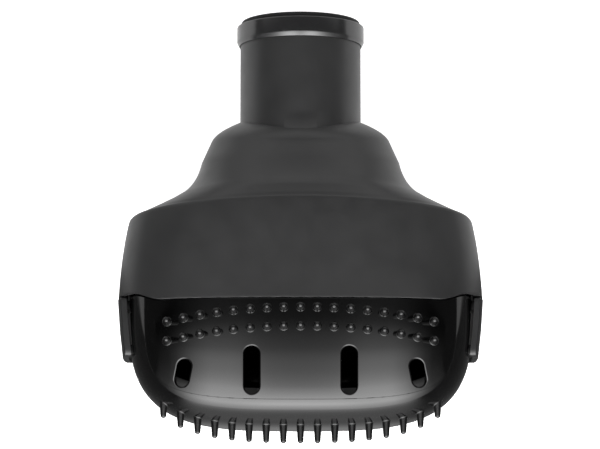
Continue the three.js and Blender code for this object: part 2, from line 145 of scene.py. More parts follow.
CAMERA_ELEVATION = radians(81.5)
CAMERA_DISTANCE = 1.6
CAMERA_LENS = 234
CAMERA_TARGET = (-0.2 * MM, 4 * MM, AXIS_Z)
WORLD_LEVEL = 0.06
FLOOR_REACH = 4
FLOOR_GLOW = 0.9
SHADE_ACROSS = (69 * MM, 72.6 * MM)
SHADE_ALONG = (-45 * MM, -24 * MM)
SHADE_HEIGHT = 0.2 * MM
SHEEN_REACH = 3
SHEEN_STEPS = 160
SHEEN_HEIGHT = 0.4 * MM
SHEEN_LOW = 0.1                                    # beside the head
SHEEN_BEHIND = 1.0                                 # beside and behind the hood
SHEEN_STEP = (-14 * MM, 4 * MM)                    # where one passes into the other
SHEEN_AHEAD = [(0, 0.3), (0.11, 0.3), (0.14, 0.6), (0.2, 0.9), (0.45, 2), (1.5, 4)]  # against metres ahead
SHEEN_HALF_WIDTH = [(0, 0.03), (0.09, 0.03), (0.2, 0.08), (1, 0.4), (3, 1.3)]        # against metres ahead
SHEEN_FADE = 1.9                                   # it has faded at this many half widths
CARD_RADIUS = 1.1
CARD_HALF_WIDTH = 2.4
CARD_ROWS = 60
CARD_COLUMNS = 80
CARD_RISE = [                                      # brightness against degrees above the floor
    (0, 4), (8, 5.8), (16, 8.2), (25, 7.7), (36, 6.9), (46, 6.2), (52, 5.2), (59, 4.2),
    (68, 3.2), (76, 2.7), (80.5, 2.1), (83, 1.5), (87, 1.15), (90, 0.85), (92, 0.4), (94, 0.22), (98, 0.1),
]
CARD_SIDE = [(0, 1), (20, 0.98), (27, 0.7), (35, 0.36), (42, 0.17), (50, 0.07), (66, 0.02)]
CARD_DIP = [(0, 0), (16, -0.15), (36, 0.15), (50, 0.42), (98, 0.48)]  # loss in the middle of each row
DIP_WIDTH = 12                                     # degrees to either side
BACK_RISE = [(112, 0.05), (124, 0.4), (134, 1), (150, 1.25), (165, 1)]
BACK_SIDE = [(0, 1), (50, 0.8), (66, 0.4)]
NO_DIP = [(0, 0), (180, 0)]

FINE = 288                                         # points round a loft
ROUND_STEPS = 6                                    # steps in a rounded edge


# ---------------------------------------------------------------- mesh helpers

def smoothstep(value, low, high):
    share = np.clip((np.asarray(value, float) - low) / (high - low), 0, 1)
    return share * share * (3 - 2 * share)


def new_object(name, mesh, material, body, slot, *nodes):
    """A finished piece: it rides on a body and stands for CAD nodes where it has any. Its slot argument is
    not used.
    """
    piece = bpy.data.objects.new(name, mesh)
    bpy.context.scene.collection.objects.link(piece)
    mesh.materials.clear()
    mesh.materials.append(material)
    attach(piece, body)
    if nodes:
        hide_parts(*nodes)


def mesh_from(points, faces, name="piece"):
    mesh = bpy.data.meshes.new(name)
    mesh.from_pydata([tuple(p) for p in points], [], faces)
    mesh.validate()
    work = bmesh.new()
    work.from_mesh(mesh)
    if work.calc_volume(signed=True) < 0:
        bmesh.ops.reverse_faces(work, faces=work.faces)
    work.to_mesh(mesh)
    work.free()
    return mesh


def shade(mesh, angle=35):
    """Smooth faces, with sharp edges where the surface turns by more than the angle."""
    mesh.shade_smooth()
    mesh.set_sharp_from_angle(angle=radians(angle))
    return mesh


def skin(rings, wrap=False, start_point=None, end_point=None):
    """Points and faces of a tube through rings. It closes on itself, or ends in points."""
    rings = np.asarray(rings, float)
    count, sides, _ = rings.shape
    points = rings.reshape(-1, 3).tolist()
    faces = []
    last = count if wrap else count - 1
    for ring in range(last):
        here = ring * sides
        there = ((ring + 1) % count) * sides
        for side in range(sides):
            after = (side + 1) % sides
            faces.append((here + side, here + after, there + after, there + side))
    if start_point is not None:
        points.append(tuple(start_point))
        faces += [(len(points) - 1, (s + 1) % sides, s) for s in range(sides)]
    if end_point is not None:
        points.append(tuple(end_point))
        base = (count - 1) * sides
        faces += [(len(points) - 1, base + s, base + (s + 1) % sides) for s in range(sides)]
    return points, faces


def joined(*parts):
    """Several (points, faces) lists as one."""
    points, faces = [], []
    for more_points, more_faces in parts:
        offset = len(points)
        points += [tuple(p) for p in more_points]
        faces += [tuple(index + offset for index in face) for face in more_faces]
    return points, faces


def turned(outline, sides=144, centre=(0, 0, AXIS_Z), axis="Y"):
    """A closed outline of (radius, place along the axis), turned round that axis."""
    angles = np.linspace(0, 2 * pi, sides, endpoint=False)
    rings = []
    for radius, along in outline:
        across, up = radius * np.cos(angles), radius * np.sin(angles)
        ring = np.zeros((sides, 3))
        ring[:, 0] = centre[0] + across
        ring[:, 1] = centre[1] + (along if axis == "Y" else up)
        ring[:, 2] = centre[2] + (up if axis == "Y" else along)
        rings.append(ring)
    return rings


def rounded_outline(corners, radius, steps=ROUND_STEPS):
    """A closed outline with each corner rounded by up to the radius given for it."""
    corners = [np.array(c, float) for c in corners]
    radii = radius if isinstance(radius, (list, tuple)) else [radius] * len(corners)
    outline = []
    for index, corner in enumerate(corners):
        before = corners[index - 1] - corner
        after = corners[(index + 1) % len(corners)] - corner
        reach = min(radii[index], 0.45 * np.linalg.norm(before), 0.45 * np.linalg.norm(after))
        start = corner + before / np.linalg.norm(before) * reach
        end = corner + after / np.linalg.norm(after) * reach
        for step in range(steps + 1):
            t = step / steps
            outline.append((1 - t) ** 2 * start + 2 * t * (1 - t) * corner + t * t * end)
    return outline


def bevelled_block(low, high, radius=0.25 * MM):
    """Points and faces of a block with rounded edges."""
    work = bmesh.new()
    bmesh.ops.create_cube(work, size=1)
    middle = [(a + b) / 2 for a, b in zip(low, high)]
    for vert in work.verts:
        vert.co = Vector([m + v * (b - a) for m, v, a, b in zip(middle, vert.co, low, high)])
    bmesh.ops.bevel(work, geom=work.edges[:], offset=radius, segments=3, profile=0.5, affect="EDGES")
    work.verts.index_update()
    result = ([v.co.to_tuple() for v in work.verts], [[v.index for v in f.verts] for f in work.faces])
    work.free()
    return result


def combine(mesh, operation, *others):
    """The mesh after cutting or joining others to it. They have to be closed."""
    holder = bpy.data.objects.new("work", mesh)
    bpy.context.scene.collection.objects.link(holder)
    tools = []
    for other in others:
        tool = bpy.data.objects.new("tool", other)
        bpy.context.scene.collection.objects.link(tool)
        step = holder.modifiers.new("step", "BOOLEAN")
        step.operation = operation
        step.object = tool
        step.solver = "MANIFOLD"
        tools.append(tool)
    graph = bpy.context.evaluated_depsgraph_get()
    result = bpy.data.meshes.new_from_object(holder.evaluated_get(graph))
    for tool in [holder, *tools]:
        bpy.data.objects.remove(tool)
    return result


# ---------------------------------------------------------------- outer shapes

def superellipse(angles, half_width, half_depth, square):
    across, up = np.cos(angles), np.sin(angles)
    reach = (np.abs(across) ** square + np.abs(up) ** square) ** (-1 / square)
    return half_width * reach * across, half_depth * reach * up


ANGLES = np.linspace(0, 2 * pi, FINE, endpoint=False)


def seam_height(x, offset=0):
    """Where the seam between hood and head lies, across the body."""
    rise = smoothstep(np.abs(x), *SEAM_STEP)
    return SEAM_FRONT + (SEAM_SIDE - SEAM_FRONT) * rise + offset


def bezier(points, steps):
    share = np.linspace(0, 1, steps + 1)[:, None]
    a, b, c = (np.array(p, float) for p in points)
    return (1 - share) ** 2 * a + 2 * share * (1 - share) * b + share ** 2 * c


def hood_outline():
    """(half width, y, half depth) from the shoulder down the hood, in metres."""
    radius = NECK_RADIUS / MM
    depth = HEAD_HALF_DEPTH / MM
    arcs = [
        ([(radius, SHOULDER / MM, radius), (34.9, 42, 26.9), (36.6, 38, 27.3)], 16),
        ([(36.6, 38, 27.3), (38.6, 33.45, 28.25), (40.6, 28.9, 29.2)], 4),
        ([(40.6, 28.9, 29.2), (42.8, 19.1, 31), (49.5, 14.4, 32.4)], 14),
        ([(49.5, 14.4, 32.4), (51.95, 12.85, 32.8), (54.4, 11.3, 33.2)], 3),
        ([(54.4, 11.3, 33.2), (66, 5.2, 34.3), (68.8, 4.5, 34.6)], 14),
        ([(68.8, 4.5, 34.6), (70, 4.2, 34.8), (70.3, 3, 34.9)], 8),
        ([(70.3, 3, 34.9), (73.9, -12, 36), (74.6, -36, depth)], 30),
    ]
    pieces = [bezier(points, steps) for points, steps in arcs]
    return np.vstack([pieces[0]] + [piece[1:] for piece in pieces[1:]]) * MM


HOOD = hood_outline()


def hood_bow(y):
    """How far the front of a section is moved along the neck: the shoulder dips, the crease arches."""
    dip, arch, crease = -6 * MM, 6.5 * MM, 6 * MM
    upper = dip + (arch - dip) * (SHOULDER - y) / (SHOULDER - crease)
    return np.where(y > crease, upper, arch * smoothstep(y, -15 * MM, crease))


def hood_ring(y, inset, drop):
    """One section of the hood. y is one height, or one for each point of the ring."""
    heights = np.broadcast_to(np.asarray(y, float), ANGLES.shape)
    order = HOOD[::-1]
    width = np.interp(heights, order[:, 1], order[:, 0]) - inset
    depth = np.interp(heights, order[:, 1], order[:, 2]) - inset
    square = 2 + smoothstep(-heights, -SHOULDER, -5 * MM)
    x, z = superellipse(ANGLES, width, depth, square)
    z = np.maximum(z, inset - AXIS_Z)
    y_out = heights + hood_bow(heights) * np.sin(ANGLES) ** 2 - drop
    return np.stack([x, y_out, z + AXIS_Z], axis=1)


def head_taper(y, length=HEAD_LENGTH):
    depth = np.clip((HEAD_TOP - np.asarray(y, float)) / length, 0, 1)
    return (1 - depth ** ROUND) ** (1 / ROUND)


def head_front(x, y):
    """Height of the head's front surface above the axis."""
    taper = head_taper(y)
    share = 1 - (np.abs(x) / (HEAD_HALF_WIDTH * taper)) ** SQUARE
    return HEAD_HALF_DEPTH * taper * np.maximum(share, 0) ** (1 / SQUARE)


def head_end(x, height):
    """Where the head's lower end lies, at a place across it and a height above the axis."""
    across = np.abs(x / HEAD_HALF_WIDTH) ** SQUARE
    up = np.abs(height / HEAD_HALF_DEPTH) ** SQUARE
    taper = (across + up) ** (1 / SQUARE)
    return HEAD_TOP - HEAD_LENGTH * (1 - taper ** ROUND) ** (1 / ROUND)


def head_gradient(points):
    """How far off the head's true outer surface points are, and the surface's outward direction."""
    x, y, z = points[:, 0], points[:, 1], points[:, 2] - AXIS_Z
    across, up = np.abs(x) / HEAD_HALF_WIDTH, np.abs(z) / HEAD_HALF_DEPTH
    depth = np.maximum(0, (HEAD_TOP - y) / HEAD_LENGTH)
    inside = np.maximum(across ** SQUARE + up ** SQUARE, 1e-9)
    value = inside ** (ROUND / SQUARE) + depth ** ROUND - 1
    slope = inside ** (ROUND / SQUARE - 1)
    gradient = np.stack([
        slope * across ** (SQUARE - 1) * np.sign(x) / HEAD_HALF_WIDTH,
        -(depth ** (ROUND - 1)) / HEAD_LENGTH,
        slope * up ** (SQUARE - 1) * np.sign(z) / HEAD_HALF_DEPTH,
    ], axis=1)
    return value, gradient / np.maximum(np.linalg.norm(gradient, axis=1, keepdims=True), 1e-9)


def head_rings(inset, stations, seam_offset):
    """Sections of the head from the seam to its closed end."""
    length = HEAD_LENGTH - inset
    end = HEAD_TOP - length
    turn = np.linspace(0, 1, stations, endpoint=False) * pi / 2
    x_seam, _ = superellipse(ANGLES, HEAD_HALF_WIDTH, HEAD_HALF_DEPTH, SQUARE)
    start = seam_height(x_seam, seam_offset)
    rings = []
    for angle in turn:
        share = 1 - sin(angle) ** (2 / ROUND)
        heights = end + (start - end) * share
        taper = head_taper(heights, length)
        width, depth = (HEAD_HALF_WIDTH - inset) * taper, (HEAD_HALF_DEPTH - inset) * taper
        x, z = superellipse(ANGLES, width, depth, SQUARE)
        z = np.maximum(z, inset - AXIS_Z)
        rings.append(np.stack([x, heights, z + AXIS_Z], axis=1))
    return rings, np.array([0, end, AXIS_Z])


# ---------------------------------------------------------------- hood and neck

def edge_round(step):
    """(inset, lift) along a rounded edge, from the wall to the flat of the rim."""
    radius = 0.2 * MM
    angle = (step / ROUND_STEPS) * pi / 2
    return radius * (1 - cos(angle)), radius * (1 - sin(angle))


def housing_rings():
    """Sections of the neck and hood, down the outside, round the rim and back up the inside."""
    upper = HOOD[HOOD[:, 1] > KNEE + 0.1 * MM, 1]
    lower = np.linspace(0, 1, 40)
    near_seam = HOOD[-8, 0]
    x_seam, _ = superellipse(ANGLES, near_seam, HEAD_HALF_DEPTH, SQUARE)
    seam = seam_height(x_seam, GAP / 2)
    neck_stations = np.linspace(NECK_END, SHOULDER, 8)

    def neck_ring(y, inset):
        share = (NECK_END - y) / (NECK_END - SHOULDER)
        x, z = superellipse(ANGLES, NECK_RADIUS - inset, NECK_RADIUS - inset, 2)
        bow = hood_bow(np.array(SHOULDER)) * share ** 2
        return np.stack([x, y + bow * np.sin(ANGLES) ** 2, z + AXIS_Z], axis=1)

    outer = [neck_ring(y, 0) for y in neck_stations[:-1]]
    outer += [hood_ring(y, 0, 0) for y in upper]
    first_inset, first_lift = edge_round(0)
    outer += [hood_ring(KNEE + (seam + first_lift - KNEE) * s, first_inset, 0) for s in lower]
    for step in range(1, ROUND_STEPS + 1):
        inset, lift = edge_round(step)
        outer.append(hood_ring(seam + lift, inset, 0))
    inner = [hood_ring(seam, WALL, 0)]
    inner += [hood_ring(KNEE + (seam + HOOD_DROP - KNEE) * s, WALL, HOOD_DROP) for s in lower[:-1][::-1]]
    inner += [hood_ring(y, WALL, HOOD_DROP) for y in upper[::-1]]
    inner += [neck_ring(y, WALL) for y in neck_stations[:-1][::-1]]
    return outer + inner


# ---------------------------------------------------------------- materials

def grey_value(value):
    """A grey with a trace of blue."""
    return (value, value, value * 1.03, 1)


def material_nodes(name):
    material = bpy.data.materials.new(name)
    material.use_nodes = True
    tree = material.node_tree
    return material, tree, tree.nodes["Principled BSDF"]


def noise(tree, scale, detail=4.0, roughness=0.5):
    place = tree.nodes.new("ShaderNodeTexCoord")
    texture = tree.nodes.new("ShaderNodeTexNoise")
    texture.inputs["Scale"].default_value = scale
    texture.inputs["Detail"].default_value = detail
    texture.inputs["Roughness"].default_value = roughness
    tree.links.new(place.outputs["Object"], texture.inputs["Vector"])
    return texture.outputs["Fac"]


def spread(tree, factor, low, high, start=0.3, end=0.7):
    """A number that follows the factor, from low to high."""
    node = tree.nodes.new("ShaderNodeMapRange")
    node.inputs["From Min"].default_value = start
    node.inputs["From Max"].default_value = end
    node.inputs["To Min"].default_value = low
    node.inputs["To Max"].default_value = high
    tree.links.new(factor, node.inputs["Value"])
    return node.outputs["Result"]


def tint(tree, factor, one, other):
    node = tree.nodes.new("ShaderNodeMix")
    node.data_type = "RGBA"
    node.inputs["A"].default_value = one
    node.inputs["B"].default_value = other
    tree.links.new(factor, node.inputs["Factor"])
    return node.outputs["Result"]


def bump(tree, factor, height):
    """A normal that follows the factor, with the height in metres."""
    node = tree.nodes.new("ShaderNodeBump")
    node.inputs["Strength"].default_value = 1
    node.inputs["Distance"].default_value = height
    tree.links.new(factor, node.inputs["Height"])
    return node.outputs["Normal"]


def plastic(name, tone, roughness, grain, grain_height, specular=0.5, worn=0.0):
    """Moulded plastic: a fine grain, a little unevenness in tone and gloss, and lighter worn edges."""
    material, tree, shader = material_nodes(name)
    broad = noise(tree, 38, 3)
    colour = tint(tree, broad, grey_value(tone * 0.86), grey_value(tone * 1.16))
    if worn:
        geometry = tree.nodes.new("ShaderNodeNewGeometry")
        edge = spread(tree, geometry.outputs["Pointiness"], 0, worn, 0.515, 0.56)
        wear = tree.nodes.new("ShaderNodeMix")
        wear.data_type = "RGBA"
        wear.inputs["B"].default_value = grey_value(tone * 4)
        tree.links.new(edge, wear.inputs["Factor"])
        tree.links.new(colour, wear.inputs["A"])
        colour = wear.outputs["Result"]
    tree.links.new(colour, shader.inputs["Base Color"])
    patches = noise(tree, 90, 5, 0.6)
    tree.links.new(spread(tree, patches, roughness * 0.9, roughness * 1.12), shader.inputs["Roughness"])
    shader.inputs["Specular IOR Level"].default_value = specular
    fine = noise(tree, 1 / grain, 2, 0.6)
    tree.links.new(bump(tree, fine, grain_height), shader.inputs["Normal"])
    return material


def gloss_plastic(name, tone, roughness):
    """Polished plastic: a deep surface with a faint moulding ripple and smears that dull it a little."""
    material, tree, shader = material_nodes(name)
    colour = tint(tree, noise(tree, 45, 3), grey_value(tone * 0.85), grey_value(tone * 1.2))
    tree.links.new(colour, shader.inputs["Base Color"])
    smear = noise(tree, 70, 6, 0.65)
    tree.links.new(spread(tree, smear, roughness * 0.8, roughness * 1.5), shader.inputs["Roughness"])
    ripple = noise(tree, 160, 1, 0.4)
    tree.links.new(bump(tree, ripple, 0.004 * MM), shader.inputs["Normal"])
    return material


def metal(name, tone, roughness):
    """Bare steel with fine changes of tone and gloss."""
    material, tree, shader = material_nodes(name)
    colour = tint(tree, noise(tree, 900, 4), grey_value(tone * 0.85), grey_value(tone * 1.08))
    tree.links.new(colour, shader.inputs["Base Color"])
    shader.inputs["Metallic"].default_value = 1
    scuffs = noise(tree, 2200, 3)
    tree.links.new(spread(tree, scuffs, roughness * 0.7, roughness * 1.4), shader.inputs["Roughness"])
    return material


HOOD_PLASTIC = plastic("hood_plastic", 0.0095, 0.42, 0.28 * MM, 0.010 * MM, 0.7, 0.05)
COLLAR_PLASTIC = plastic("collar_plastic", 0.012, 0.19, 0.2 * MM, 0.004 * MM, 0.9, 0.05)
TAB_PLASTIC = plastic("tab_plastic", 0.009, 0.34, 0.28 * MM, 0.010 * MM, worn=0.05)
INNER_PLASTIC = plastic("inner_plastic", 0.014, 0.5, 0.5 * MM, 0.008 * MM)
RUBBER = plastic("sleeve_rubber", 0.013, 0.7, 0.15 * MM, 0.012 * MM, specular=0.35)
HEAD_GLOSS = gloss_plastic("head_gloss", 0.0014, 0.07)
PIN_GLOSS = gloss_plastic("pin_gloss", 0.003, 0.24)
SCREW_STEEL = metal("screw_steel", 0.55, 0.35)
PIN_STEEL = metal("pin_steel", 0.6, 0.22)
SPRING_STEEL = metal("spring_steel", 0.06, 0.45)

# ---------------------------------------------------------------- build: hood side


def build_housing():
    points, faces = skin(housing_rings(), wrap=True)
    mesh = shade(mesh_from(points, faces, "housing"), 40)
    new_object("housing_shell", mesh, HOOD_PLASTIC, "hood", "hood_plastic", "housing")


def build_collar():
    low, high = collar_low[1], collar_high[1]
    inner = NECK_RADIUS + GAP
    corners = [
        (inner, low), (inner + 0.2 * MM, low), (COLLAR_RADIUS, low + COLLAR_CHAMFER),
        (COLLAR_RADIUS, high), (inner, high),
    ]
    outline = rounded_outline(corners, [0.05 * MM, 0.1 * MM, 0.35 * MM, 0.9 * MM, 0.2 * MM])
    points, faces = skin(turned(outline), wrap=True)
    mesh = shade(mesh_from(points, faces, "collar"), 50)
    new_object("collar", mesh, COLLAR_PLASTIC, "hood", "collar_plastic", "collar_ring")


def build_sleeve():
    outer = NECK_RADIUS - WALL - GAP
    flange = sleeve_high[0]
    top, bottom = sleeve_high[1], sleeve_low[1]
    corners = [(SLEEVE_BORE, bottom), (outer, bottom), (outer, NECK_END + GAP), (flange, NECK_END + GAP)]
    radii = [0.3 * MM, 0.3 * MM, 0.1 * MM, 0.2 * MM]
    corners += [(flange, top), (SLEEVE_BORE + 0.4 * MM, top)]
    radii += [0.6 * MM, 0.8 * MM]
    for rib in range(SLEEVE_RIB_COUNT):
        y = top - 3 * MM - rib * SLEEVE_RIB_PITCH
        for radius, fall in ((SLEEVE_BORE, 0), (SLEEVE_RIB, 0.6), (SLEEVE_RIB, 1.4), (SLEEVE_BORE, 2)):
            corners.append((radius, y - fall * MM))
            radii.append(0.3 * MM)
    points, faces = skin(turned(rounded_outline(corners, radii, 4)), wrap=True)
    mesh = shade(mesh_from(points, faces, "sleeve"), 50)
    new_object("barrel_sleeve", mesh, RUBBER, "hood", "sleeve_rubber", "grip_sleeve")


def build_retainer():
    low, high = retainer_low[1], retainer_high[1]
    inner, outer = RETAINER_BORE, retainer_high[0]
    corners = [(inner, low), (outer, low), (outer, high), (inner, high)]
    points, faces = skin(turned(rounded_outline(corners, 0.4 * MM)), wrap=True)
    mesh = shade(mesh_from(points, faces, "retainer"), 50)
    new_object("retaining_ring", mesh, INNER_PLASTIC, "hood", "inner_plastic", "sleeve_retainer")


def build_deflector():
    outer, tip, foot = deflector_high[0], deflector_high[1], deflector_low[1]
    bore, under, top = DEFLECTOR_RING
    ring = rounded_outline([(bore, under), (outer, under), (outer, top), (bore, top)], 0.4 * MM)
    cone = [(0.05 * MM, foot), (8.2 * MM, foot), (8.9 * MM, foot + 0.7 * MM), (8.2 * MM, 34 * MM)]
    cone += [(6.5 * MM, 40 * MM), (4.2 * MM, 45 * MM), (2.2 * MM, 48.4 * MM), (0.05 * MM, tip)]
    half, reach = 0.8 * MM, SPOKE_REACH
    spokes = [
        bevelled_block((-reach, under, AXIS_Z - half), (reach, top, AXIS_Z + half)),
        bevelled_block((-half, under, AXIS_Z - reach), (half, top, AXIS_Z + reach)),
    ]
    points, faces = joined(skin(turned(ring), wrap=True), skin(turned(cone, 96), wrap=True), *spokes)
    mesh = shade(mesh_from(points, faces, "deflector"), 45)
    new_object("deflector_cone", mesh, INNER_PLASTIC, "hood", "inner_plastic", "air_deflector")


def slab_rings(profile, half_width, half_depth, floor):
    """Sections for (inset, y) pairs, each flat underneath at the floor plus its own inset."""
    rings = []
    for inset, y in profile:
        x, z = superellipse(ANGLES, half_width - inset, half_depth - inset, SQUARE)
        z = np.maximum(z, floor - AXIS_Z + inset)
        rings.append(np.stack([x, np.full_like(x, y), z + AXIS_Z], axis=1))
    return rings


def screw_places():
    boxes = [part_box(f"baffle_screw_{index}") for index in range(1, 5)]
    return [((low[0] + high[0]) / 2, (low[2] + high[2]) / 2) for low, high in boxes]


def build_baffle():
    low, high = baffle_low[1], baffle_high[1]
    edge = rounded_outline([(2 * MM, low), (0, low), (0, high), (2 * MM, high)], 0.4 * MM)
    rings = slab_rings(edge, baffle_high[0], baffle_high[2] - AXIS_Z, baffle_low[2])
    points, faces = skin(rings, start_point=(0, low, AXIS_Z), end_point=(0, high, AXIS_Z))
    plate = mesh_from(points, [face[::-1] for face in faces])
    places = screw_places()
    holes = []
    for column in range(-4, 5):
        for row in range(-1, 2):
            x, z = column * BAFFLE_HOLE_PITCH, AXIS_Z + row * BAFFLE_HOLE_PITCH
            if min(np.hypot(x - sx, z - sz) for sx, sz in places) >= SCREW_CLEARANCE:
                holes.append((x, z, BAFFLE_HOLE_RADIUS))
    holes += [(x, z, BAFFLE_SCREW_HOLE) for x, z in places]
    cutters = []
    for x, z, size in holes:
        outline = [(size, low - MM), (size, high + MM)]
        rings = turned(outline, 40, centre=(x, 0, z))
        ends = (x, low - MM, z), (x, high + MM, z)
        points, faces = skin(rings, start_point=ends[0], end_point=ends[1])
        cutters.append((points, [face[::-1] for face in faces]))
    mesh = combine(plate, "DIFFERENCE", mesh_from(*joined(*cutters)))
    new_object("baffle", shade(mesh, 40), INNER_PLASTIC, "hood", "inner_plastic", "baffle_plate")


# ---------------------------------------------------------------- build: head

def head_solid(seam_offset):
    """The closed shell of the head, open towards the hood."""
    outer, end = head_rings(0, 96, seam_offset)
    inner, inner_end = head_rings(WALL, 48, seam_offset)
    rim = []
    for step in range(1, ROUND_STEPS + 1):
        inset, lift = edge_round(step)
        start = outer[0].copy()
        x, z = superellipse(ANGLES, HEAD_HALF_WIDTH - inset, HEAD_HALF_DEPTH - inset, SQUARE)
        z = np.maximum(z, inset - AXIS_Z)
        start[:, 0], start[:, 2] = x, z + AXIS_Z
        start[:, 1] -= lift
        rim.append(start)
    outer[0][:, 1] -= edge_round(0)[1]
    rings = outer[::-1] + rim + inner
    points, faces = skin(rings, start_point=end, end_point=inner_end)
    return mesh_from(points, [face[::-1] for face in faces])


def block_mesh(low, high):
    work = bmesh.new()
    bmesh.ops.create_cube(work, size=1)
    for vert in work.verts:
        vert.co = Vector([(a + b) / 2 + v * (b - a) for v, a, b in zip(vert.co, low, high)])
    mesh = bpy.data.meshes.new("block")
    work.to_mesh(mesh)
    work.free()
    return mesh


def parting_height(x):
    fall, reach = PARTING_FALL
    return AXIS_Z + PARTING_MIDDLE - fall * np.abs(x / reach) ** 3


def panel_side(offset):
    """What lies in front of the arched surface where the face panel meets the bowl."""
    far, middle, top, steps = 0.09, 0.1, 0.15, 120
    x = np.linspace(-far, far, steps + 1)
    arch = np.stack([x, np.zeros_like(x), parting_height(x) + offset], axis=1)
    outline = np.vstack([arch, [(far, 0, top), (-far, 0, top)]])
    rings = [outline + np.array([0, y, 0]) for y in (-far, far)]
    points, faces = skin(rings, start_point=(0, -far, middle), end_point=(0, far, middle))
    return mesh_from(points, faces)


def stadium(length, width, steps=20):
    """Outline points and outward directions of a slot with round ends."""
    radius = width / 2
    straight = length / 2 - radius
    outline = []
    for end in (1, -1):
        for step in range(steps + 1):
            angle = pi * step / steps + (0 if end > 0 else pi)
            outward = np.array([cos(angle), sin(angle)])
            outline.append((np.array([0, end * straight]) + radius * outward, outward))
    return outline


def slot_cutter(x, y, length, width, lean, side):
    """A cutter whose top flares out, so that the slot's rim comes out rounded."""
    flare, above = 0.8 * MM, 3 * MM
    turn = np.array([[cos(side * lean), -sin(side * lean)], [sin(side * lean), cos(side * lean)]])
    levels = [(0, None)]
    steps = 8
    for step in range(steps + 1):
        angle = (step / steps) * pi / 2
        levels.append((flare * (1 - cos(angle)), flare * (sin(angle) - 1)))
    levels.append((flare, above))
    rings = []
    for spread_out, height in levels:
        ring = []
        for place, outward in stadium(length, width):
            flat = turn @ (place + spread_out * outward) + np.array([side * x, y])
            top = head_front(flat[0], flat[1]) + AXIS_Z
            ring.append((flat[0], flat[1], AXIS_Z + SLOT_ROOT if height is None else top + height))
        rings.append(ring)
    centre = (side * x, y)
    top = head_front(*centre) + AXIS_Z + above
    points, faces = skin(rings, start_point=(*centre, AXIS_Z + SLOT_ROOT), end_point=(*centre, top))
    return mesh_from(points, faces)


def true_normals(mesh):
    """Gives the head's outer surface its exact normals, so that reflections run clean across it."""
    shade(mesh, 35)
    count = len(mesh.loops)
    normals = np.empty(count * 3)
    mesh.corner_normals.foreach_get("vector", normals)
    normals = normals.reshape(-1, 3)
    places = np.empty(len(mesh.vertices) * 3)
    mesh.vertices.foreach_get("co", places)
    value, gradient = head_gradient(places.reshape(-1, 3))
    for face in mesh.polygons:
        corners = list(face.vertices)
        on_surface = np.abs(value[corners]).max() < 0.012
        facing = gradient[corners].mean(axis=0) @ np.array(face.normal)
        resting_face = abs(face.normal.z + 1) < 1e-3
        if on_surface and facing > 0.97 and not resting_face:
            for loop, vertex in zip(face.loop_indices, corners):
                normals[loop] = gradient[vertex]
    mesh.normals_split_custom_set(normals.tolist())
    return mesh


def build_head():
    """The panel with its slots, and the bowl with a window at each side for a tab."""
    shell = head_solid(-GAP / 2)
    panel = combine(shell.copy(), "INTERSECT", panel_side(HALF_PARTING))
    cutters = [slot_cutter(*slot, side) for slot in SLOTS for side in (1, -1)]
    panel = combine(panel, "DIFFERENCE", *cutters)
    bowl = combine(shell.copy(), "DIFFERENCE", panel_side(-HALF_PARTING))
    half = (tab_high[2] - tab_low[2]) / 2 + GAP
    windows = []
    for side in (1, -1):
        left, right = sorted((side * 60 * MM, side * 80 * MM))
        low = (left, tab_low[1] - GAP, AXIS_Z - half)
        windows.append(block_mesh(low, (right, 0, AXIS_Z + half)))
    bowl = combine(bowl, "DIFFERENCE", *windows)
    new_object("front_panel", true_normals(panel), HEAD_GLOSS, "head", "head_gloss", "face_panel")
    new_object("rear_bowl", true_normals(bowl), HEAD_GLOSS, "head", "head_gloss", "head_bowl")


def pin_profile(length):
    """(radius, level, how far the ring follows the surface it stands on) from the root to the tip."""
    root, settle = PIN_FILLET, 2.6 * MM
    cap = 0.9 * PIN_TIP_RADIUS
    profile = [(PIN_BASE_RADIUS + root, -PIN_SUNK, 1)]
    for step in range(ROUND_STEPS + 1):
        angle = (step / ROUND_STEPS) * pi / 2
        level = root * (1 - cos(angle)) - 0.03 * MM
        profile.append((PIN_BASE_RADIUS + root * (1 - sin(angle)), level, 1))
    for share in np.linspace(0.1, 1, 8):
        level = root + (length - cap - root) * share
        radius = PIN_BASE_RADIUS + (PIN_TIP_RADIUS - PIN_BASE_RADIUS) * share
        profile.append((radius, level, max(0, 1 - level / settle)))
    for step in range(1, 8):
        angle = (step / 8) * pi / 2
        profile.append((PIN_TIP_RADIUS * cos(angle), length - cap + cap * sin(angle), 0))
    return profile


def pin_parts(u, v, surface, length, to_space, sides=28):
    """One pin. It stands at (u, v) on a surface, whose height is measured along the pin."""
    angles = np.linspace(0, 2 * pi, sides, endpoint=False)
    base = surface(np.array([u]), np.array([v]))[0]
    rings = []
    for radius, level, follow in pin_profile(length):
        across, along = u + radius * np.cos(angles), v + radius * np.sin(angles)
        height = follow * surface(across, along) + (1 - follow) * base + level
        rings.append(to_space(across, along, height))
    root = to_space(np.array([u]), np.array([v]), np.array([base - PIN_SUNK]))[0]
    tip = to_space(np.array([u]), np.array([v]), np.array([base + length]))[0]
    return skin(rings, start_point=root, end_point=tip)


ROW_SHARES = np.linspace(-1, 1, PINS_PER_ROW)


def build_upper_pins():
    def surface(x, y):
        return AXIS_Z + head_front(x, y)

    def to_space(x, y, height):
        return np.stack([x, y, height], axis=1)

    half = (PINS_PER_ROW - 1) / 2 * UPPER_PITCH
    for name, (middle, sag) in UPPER_ROWS.items():
        places = [(share * half, middle - sag * share ** 2) for share in ROW_SHARES]
        parts = [pin_parts(x, y, surface, PIN_LENGTH, to_space) for x, y in places]
        mesh = shade(mesh_from(*joined(*parts), name), 60)
        new_object(name, mesh, PIN_GLOSS, "head", "head_gloss")


